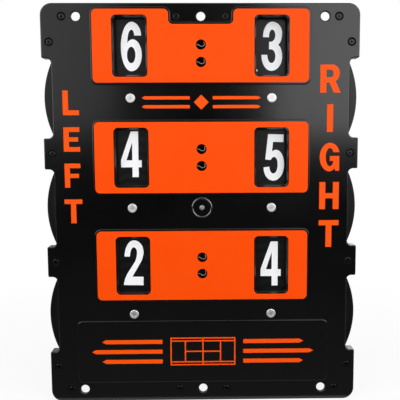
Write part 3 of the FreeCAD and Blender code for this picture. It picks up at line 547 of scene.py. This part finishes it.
def ink_mark(name, outlines):
    """A printed mark from flat outlines in metres, as a mesh: it faces -Y and its back is at y = 0."""
    curve = bpy.data.curves.new(name, "CURVE")
    curve.dimensions = "2D"
    curve.fill_mode = "BOTH"
    curve.extrude = INK_HEIGHT / 2 - INK_EDGE
    curve.bevel_depth = INK_EDGE
    curve.bevel_resolution = 1
    curve.offset = -INK_EDGE
    for outline in outlines:
        add_outline(curve, outline)
    mark = bpy.data.objects.new(name, curve)
    bpy.context.collection.objects.link(mark)
    bpy.ops.object.select_all(action="DESELECT")
    bpy.context.view_layer.objects.active = mark
    mark.select_set(True)
    bpy.ops.object.convert(target="MESH")
    bpy.ops.object.mode_set(mode="EDIT")
    bpy.ops.mesh.select_all(action="SELECT")
    bpy.ops.mesh.remove_doubles(threshold=MERGE_DISTANCE)
    bpy.ops.mesh.normals_make_consistent(inside=False)
    bpy.ops.object.mode_set(mode="OBJECT")
    mark.rotation_euler = (math.radians(90), 0, 0)
    mark.location = (0, -INK_HEIGHT / 2, 0)
    bpy.ops.object.transform_apply(location=True, rotation=True, scale=True)
    return mark


def moved(outline, change):
    """An outline with each of its points put through change(x, z)."""
    result = []
    for step in outline:
        result.append(sum((change(*step[i:i + 2]) for i in range(0, len(step), 2)), ()))
    return result


def placed(outline, size, x, z):
    """An outline in shares of a size, at that size and with its origin at a place of the front."""
    return moved(outline, lambda across, up: (x + size * across, z + size * up))


def width_of(outlines):
    """The lowest and highest x of some outlines."""
    across = [step[-2] for outline in outlines for step in outline]
    return min(across), max(across)


def figure_outlines(number, right, higher):
    """A figure's outlines in metres, its foot away from the axle, turned to its place on a disc."""
    foot, head, outlines = FIGURES[number]
    low, high = width_of(outlines)
    size = FIGURE_HEIGHT * (head - foot)

    def place(x, z):
        across = FIGURE_SPREAD * size * (x - (low + high) / 2) + right
        up = FIGURE_FOOT_RADIUS + FIGURE_HEIGHT * foot + size * z + higher
        return turned(across, up, number * FIGURE_STEP)

    return [moved(outline, place) for outline in outlines]


def figure_ring(name):
    """All the figures of one disc, about the origin."""
    outlines = []
    for number in range(FIGURE_COUNT):
        offset = PRINT_OFFSETS[name] if number == SHOWN[name] else (0, 0)
        outlines += figure_outlines(number, *offset)
    return ink_mark(f"figures_{name}", outlines)


def dress(piece, body, material):
    """Gives a new piece its material and the body that it moves with."""
    piece.data.materials.clear()
    piece.data.materials.append(material)
    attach(piece, body)


def disc_middle(name):
    """The middle of a disc's front face."""
    low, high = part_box(f"number_disc_{name}")
    return Vector(((low[0] + high[0]) / 2, low[1], (low[2] + high[2]) / 2))


def add_figures(material):
    """A ring of figures on each disc, turned so that the right one stands in the window."""
    for name, shown in SHOWN.items():
        ring = figure_ring(name)
        ring.rotation_euler = (0, math.radians(LEFT_TURNED.get(name, 0)) - shown * FIGURE_STEP, 0)
        ring.location = disc_middle(name)
        bpy.ops.object.transform_apply(location=True, rotation=True, scale=True)
        dress(ring, f"disc_{name}", material)


def middles_of(node):
    """The middles of the small fasteners that one CAD node holds, as (x, z)."""
    groups = []
    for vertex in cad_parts[node].data.vertices:
        place = Vector((vertex.co.x, vertex.co.z))
        near = next((group for group in groups if (group[0] - place).length < FASTENER_REACH), None)
        if near is None:
            groups.append([place])
        else:
            near.append(place)
    middles = []
    for group in groups:
        across = [place.x for place in group]
        up = [place.y for place in group]
        middles.append(((min(across) + max(across)) / 2, (min(up) + max(up)) / 2))
    return middles


def make_dark_ring():
    """One dark rubber ring, standing in for the shade in a screw's recess: a flat ring with softened edges,
    about the origin with its back at y = 0.
    """
    bpy.ops.object.select_all(action="DESELECT")
    bpy.ops.mesh.primitive_circle_add(vertices=DARK_RING_SIDES, radius=DARK_RING_OUTSIDE, fill_type="NGON",
                                      rotation=(math.radians(90), 0, 0))
    ring_piece = bpy.context.object
    bpy.ops.object.transform_apply(location=True, rotation=True, scale=True)
    bpy.ops.object.mode_set(mode="EDIT")
    bpy.ops.mesh.select_all(action="SELECT")
    bpy.ops.mesh.inset(thickness=DARK_RING_OUTSIDE - DARK_RING_INSIDE)
    bpy.ops.mesh.delete(type="FACE")
    bpy.ops.mesh.select_all(action="SELECT")
    bpy.ops.mesh.extrude_region_move(TRANSFORM_OT_translate={"value": (0, -DARK_RING_HEIGHT, 0)})
    bpy.ops.mesh.region_to_loop()
    bpy.ops.mesh.bevel(offset=DARK_RING_EDGE, segments=2)
    bpy.ops.mesh.select_all(action="SELECT")
    bpy.ops.mesh.normals_make_consistent(inside=False)
    bpy.ops.object.mode_set(mode="OBJECT")
    bpy.ops.object.shade_smooth_by_angle()
    return ring_piece


def add_dark_rings(material):
    """A dark rubber ring round the head of each screw, in the screw's recess, as painted shade there."""
    ring_piece = make_dark_ring()
    copies = []
    for x, z in middles_of("perimeter_screws"):
        copy = ring_piece.copy()
        copy.data = ring_piece.data.copy()
        bpy.context.collection.objects.link(copy)
        copy.location = (x, SCREW_SEAT_Y, z)
        copies.append(copy)
    bpy.data.objects.remove(ring_piece)
    bpy.ops.object.select_all(action="DESELECT")
    for copy in copies:
        copy.select_set(True)
    bpy.context.view_layer.objects.active = copies[0]
    bpy.ops.object.join()
    joined_rings = bpy.context.object
    bpy.ops.object.transform_apply(location=True, rotation=True, scale=True)
    joined_rings.name = "screw_recess_dark_rings"
    dress(joined_rings, "case", material)


def set_on_front(mark, level):
    """Puts a mark's back on a face of the front, given as that face's y."""
    bpy.ops.object.select_all(action="DESELECT")
    bpy.context.view_layer.objects.active = mark
    mark.select_set(True)
    mark.location = (0, level, 0)
    bpy.ops.object.transform_apply(location=True, rotation=True, scale=True)


def add_word(side, level, material):
    """A word down one side of the front, its letters upright one below the other."""
    word = WORDS[side]
    outlines = []
    for i, letter in enumerate(word["letters"]):
        low, high = width_of(LETTERS[letter])
        x = word["x"] - word["height"] * (low + high) / 2
        foot = word["top"] - i * word["pitch"] - word["height"] / 2
        outlines += [placed(outline, word["height"], x, foot) for outline in LETTERS[letter]]
    mark = ink_mark(f"word_{side}", outlines)
    set_on_front(mark, level)
    dress(mark, "case", material)


def box_outline(left, low, right, high):
    """A rectangle's outline."""
    return [(left, low), (right, low), (right, high), (left, high)]


def band_outline(start, end, tip, middle, half):
    """The outline of a level band that ends in a point."""
    return [(start, middle - half), (end, middle - half), (tip, middle), (end, middle + half),
            (start, middle + half)]


def add_court_mark(level, material):
    """A plan of a tennis court in lines on the lower plateau, between two sets of bands."""
    half = COURT_LINE / 2
    outlines = [box_outline(-COURT_HALF_LENGTH, -COURT_HALF_WIDTH, COURT_HALF_LENGTH, COURT_HALF_WIDTH)]
    lengths = [-COURT_HALF_LENGTH + half, 0, COURT_HALF_LENGTH - half]
    for low, high in ((-COURT_HALF_WIDTH + half, -COURT_SINGLES), (COURT_SINGLES, COURT_HALF_WIDTH - half)):
        for left, right in zip(lengths, lengths[1:]):
            outlines.append(box_outline(left + half, low + half, right - half, high - half))
    for left, right in ((lengths[0], -COURT_SERVICE), (COURT_SERVICE, lengths[2])):
        outlines.append(box_outline(left + half, -COURT_SINGLES + half, right - half, COURT_SINGLES - half))
    for left, right in ((-COURT_SERVICE, 0), (0, COURT_SERVICE)):
        for low, high in ((-COURT_SINGLES, 0), (0, COURT_SINGLES)):
            outlines.append(box_outline(left + half, low + half, right - half, high - half))
    for side in (-1, 1):
        for row in (-1, 0, 1):
            middle = row * BAND_PITCH
            start = side * BAND_START
            end = side * (BAND_END - abs(row) * BAND_PITCH)
            outlines.append(band_outline(start, end, end + side * BAND_POINT, middle, BAND_HALF))
    mark = ink_mark("court_mark", [placed(outline, 1, 0, COURT_Z) for outline in outlines])
    set_on_front(mark, level)
    dress(mark, "case", material)


def add_upper_mark(level, material):
    """A diamond between two pairs of stripes, below the top plate."""
    outlines = [[(-DIAMOND, 0), (0, -DIAMOND), (DIAMOND, 0), (0, DIAMOND)]]
    for side in (-1, 1):
        for row in (-1, 1):
            middle = row * STRIPE_PITCH
            start = side * STRIPE_START
            end = side * STRIPE_END
            outlines.append(band_outline(start, end, end + side * STRIPE_POINT, middle, STRIPE_HALF))
    mark = ink_mark("upper_mark", [placed(outline, 1, 0, UPPER_MARK_Z) for outline in outlines])
    set_on_front(mark, level)
    dress(mark, "case", material)


def add_cap_marks(cap, line):
    """A thin round black cap on the head of each rivet, with a grey crescent printed on it as a painted
    highlight.
    """
    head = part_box("label_rivets")[0][1]
    middles = middles_of("label_rivets")
    # Painted highlight: the warm grey crescent on each cap stands in for the light caught by the rivet's cup.
    marks = (("rivet_caps", CAP_OUTLINE, head, cap), ("painted_cap_highlights", PAINTED_CRESCENT, head - INK_HEIGHT, line))
    for name, shape, level, material in marks:
        mark = ink_mark(name, [placed(shape, CAP_RADIUS, *middle) for middle in middles])
        set_on_front(mark, level)
        dress(mark, "case", material)


def coat(node, material):
    """Gives a CAD node a better material."""
    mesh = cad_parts[node].data
    mesh.materials.clear()
    mesh.materials.append(material)


def coat_frame(nylon, rubber):
    """The materials of all the CAD nodes."""
    abs_plastic = black_abs()
    sheet = orange_sheet()
    front_screw = black_oxide_steel("front", *FRONT_SCREW_SHADE)
    back_screw = black_oxide_steel("back", *BACK_SCREW_SHADE)
    acetal = grey_acetal()
    cream = natural_nylon()
    coat("front_panel", abs_plastic)
    coat("rear_panel", abs_plastic)
    for row in ROWS:
        coat(f"label_plate_{row}", sheet)
    coat("label_rivets", nylon)
    coat("perimeter_screws", front_screw)
    for name in SHOWN:
        coat(f"number_disc_{name}", disc_sheet(name, disc_middle(name)))
        coat(f"disc_hub_{name}", acetal)
        coat(f"axle_post_{name}", turned_steel(name, disc_middle(name)))
        coat(f"axle_screw_{name}", back_screw)
        coat(f"front_washer_{name}", cream)
        coat(f"rear_washer_{name}", rubber)


def add_camera():
    """The camera, with its middle shifted as in a cropped picture."""
    bpy.ops.object.camera_add()
    camera = bpy.context.object
    camera.name = "camera"
    turn = Matrix.Rotation(CAMERA_YAW, 4, "Z") @ Matrix.Rotation(CAMERA_PITCH, 4, "X")
    turn = turn @ Matrix.Rotation(CAMERA_ROLL, 4, "Y") @ Matrix.Rotation(math.radians(90), 4, "X")
    camera.matrix_world = Matrix.Translation(CAMERA_PLACE) @ turn
    camera.data.sensor_width = SENSOR
    camera.data.lens = FOCAL_PIXELS * SENSOR / PICTURE
    camera.data.shift_x = -MIDDLE_SHIFT[0] / PICTURE
    camera.data.shift_y = MIDDLE_SHIFT[1] / PICTURE
    camera.data.clip_end = CAMERA_REACH
    bpy.context.scene.camera = camera


def add_lamp(name, place, aim, width, height, power):
    """A soft box: a rectangular lamp at place that faces aim."""
    bpy.ops.object.light_add(type="AREA", location=place)
    lamp = bpy.context.object
    lamp.name = name
    lamp.data.shape = "RECTANGLE"
    lamp.data.size = width
    lamp.data.size_y = height
    lamp.data.energy = power
    lamp.rotation_euler = (Vector(aim) - Vector(place)).to_track_quat("-Z", "Y").to_euler()


def add_lights():
    """A large screen of light on each side, two soft boxes in front that the upper half of the board
    mirrors, a weak one above for the edges and one behind for the back."""
    for lamp in LAMPS:
        add_lamp(*lamp)


def add_world():
    """A dark room with a pale ceiling, and a white backdrop wherever it is looked at or mirrored."""
    world = bpy.data.worlds.new("studio")
    world.use_nodes = True
    bpy.context.scene.world = world
    tree = world.node_tree
    tree.nodes.clear()
    path = add_node(tree, "ShaderNodeLightPath")
    where = add_node(tree, "ShaderNodeTexCoord")
    split = add_node(tree, "ShaderNodeSeparateXYZ", links={"Vector": (where, "Generated")})
    ceiling = add_node(tree, "ShaderNodeMapRange",
                       {"From Min": CEILING_SLOPES[0], "From Max": CEILING_SLOPES[1],
                        "To Min": ROOM_WALLS, "To Max": ROOM_CEILING},
                       {"Value": (split, "Z")})
    ground = add_node(tree, "ShaderNodeMapRange",
                      {"From Min": GROUND_SLOPES[0], "From Max": GROUND_SLOPES[1],
                       "To Min": 0.0, "To Max": ROOM_FLOOR},
                      {"Value": (split, "Z")})
    walls = add_node(tree, "ShaderNodeMath", links={0: (ceiling, "Result"), 1: (ground, "Result")},
                     operation="MAXIMUM")
    behind = add_node(tree, "ShaderNodeMapRange",
                      {"From Min": BACKDROP_SLOPES[0], "From Max": BACKDROP_SLOPES[1]},
                      {"Value": (split, "Y")})
    mirrored = add_node(tree, "ShaderNodeMath",
                        links={0: (path, "Is Glossy Ray"), 1: (path, "Is Transmission Ray")},
                        operation="MAXIMUM")
    shown = add_node(tree, "ShaderNodeMath", links={0: (mirrored, "Value"), 1: (behind, "Result")},
                     operation="MULTIPLY")
    seen = add_node(tree, "ShaderNodeMath", links={0: (path, "Is Camera Ray"), 1: (shown, "Value")},
                    operation="MAXIMUM")
    room = add_node(tree, "ShaderNodeBackground", {"Color": linear("FFFFFF")}, {"Strength": (walls, "Value")})
    white = add_node(tree, "ShaderNodeBackground", {"Color": linear("FFFFFF"), "Strength": 1.0})
    mix = add_node(tree, "ShaderNodeMixShader", links={"Fac": (seen, "Value"), 1: (room, "Background"),
                                                       2: (white, "Background")})
    add_node(tree, "ShaderNodeOutputWorld", links={"Surface": (mix, "Shader")})


def floor_paper():
    """White studio paper: it takes a shadow near the board and fades into the backdrop away from it."""
    material, tree = new_material("white_studio_paper")
    path = add_node(tree, "ShaderNodeLightPath")
    where = add_node(tree, "ShaderNodeTexCoord")
    fibre = add_node(tree, "ShaderNodeTexNoise", {"Scale": per_metre(30), "Detail": 3.0},
                     {"Vector": (where, "Object")})
    colour = add_node(tree, "ShaderNodeMixRGB", {"Color1": linear("EFEFEF"), "Color2": linear("F4F4F4")},
                      {"Fac": (fibre, "Fac")})
    distance = add_node(tree, "ShaderNodeVectorMath", links={0: (where, "Object")}, operation="LENGTH")
    fade = add_node(tree, "ShaderNodeMapRange",
                    {"From Min": FLOOR_FADE[0], "From Max": FLOOR_FADE[1],
                     "To Min": FLOOR_FADE_SHARE, "To Max": 1.0},
                    {"Value": (distance, "Value")})
    mirrored = add_node(tree, "ShaderNodeMath",
                        links={0: (path, "Is Glossy Ray"), 1: (path, "Is Transmission Ray")},
                        operation="MAXIMUM")
    looked_at = add_node(tree, "ShaderNodeMath", links={0: (path, "Is Camera Ray"), 1: (mirrored, "Value")},
                         operation="MAXIMUM")
    seen = add_node(tree, "ShaderNodeMath", links={0: (looked_at, "Value"), 1: (fade, "Result")},
                    operation="MULTIPLY")
    paper = add_node(tree, "ShaderNodeBsdfDiffuse", links={"Color": (colour, "Color")})
    glow = add_node(tree, "ShaderNodeEmission", {"Color": linear("FFFFFF"), "Strength": 1.0})
    mix = add_node(tree, "ShaderNodeMixShader", links={"Fac": (seen, "Value"), 1: (paper, "BSDF"),
                                                       2: (glow, "Emission")})
    add_node(tree, "ShaderNodeOutputMaterial", links={"Surface": (mix, "Shader")})
    return material


def add_floor():
    """The paper that the board stands on: its front edge lies just ahead of the board, below the picture."""
    ground = cad_box[0][2]
    depth = FLOOR_BACK - FLOOR_FRONT
    bpy.ops.mesh.primitive_plane_add(size=1, location=(0, (FLOOR_BACK + FLOOR_FRONT) / 2, ground))
    floor = bpy.context.object
    floor.name = "floor"
    floor.scale = (FLOOR_WIDTH, depth, 1)
    bpy.ops.object.transform_apply(location=True, rotation=True, scale=True)
    floor.data.materials.append(floor_paper())


bpy.ops.object.select_all(action="DESELECT")
bpy.context.scene.view_settings.view_transform = "Standard"
black_caps = black_nylon()
dull_rubber = black_rubber()
orange_ink = printed_ink("orange_screen_ink", "FC4F00", "FF5A04")
coat_frame(black_caps, dull_rubber)
# The rings in the screws' recesses are painted shade: dull black rubber that darkens the recess round each
# head.
add_dark_rings(dull_rubber)
add_figures(printed_ink("white_screen_ink", "F4F5F8", "FCFDFF"))
for word_side in SIDES:
    add_word(word_side, FACE_Y, orange_ink)
add_upper_mark(FACE_Y, orange_ink)
add_cap_marks(black_caps, printed_ink("grey_highlight_ink", "9C908C", "A89C98"))
add_court_mark(PLATEAU_Y, orange_ink)
add_floor()
add_lights()
add_world()
add_camera()
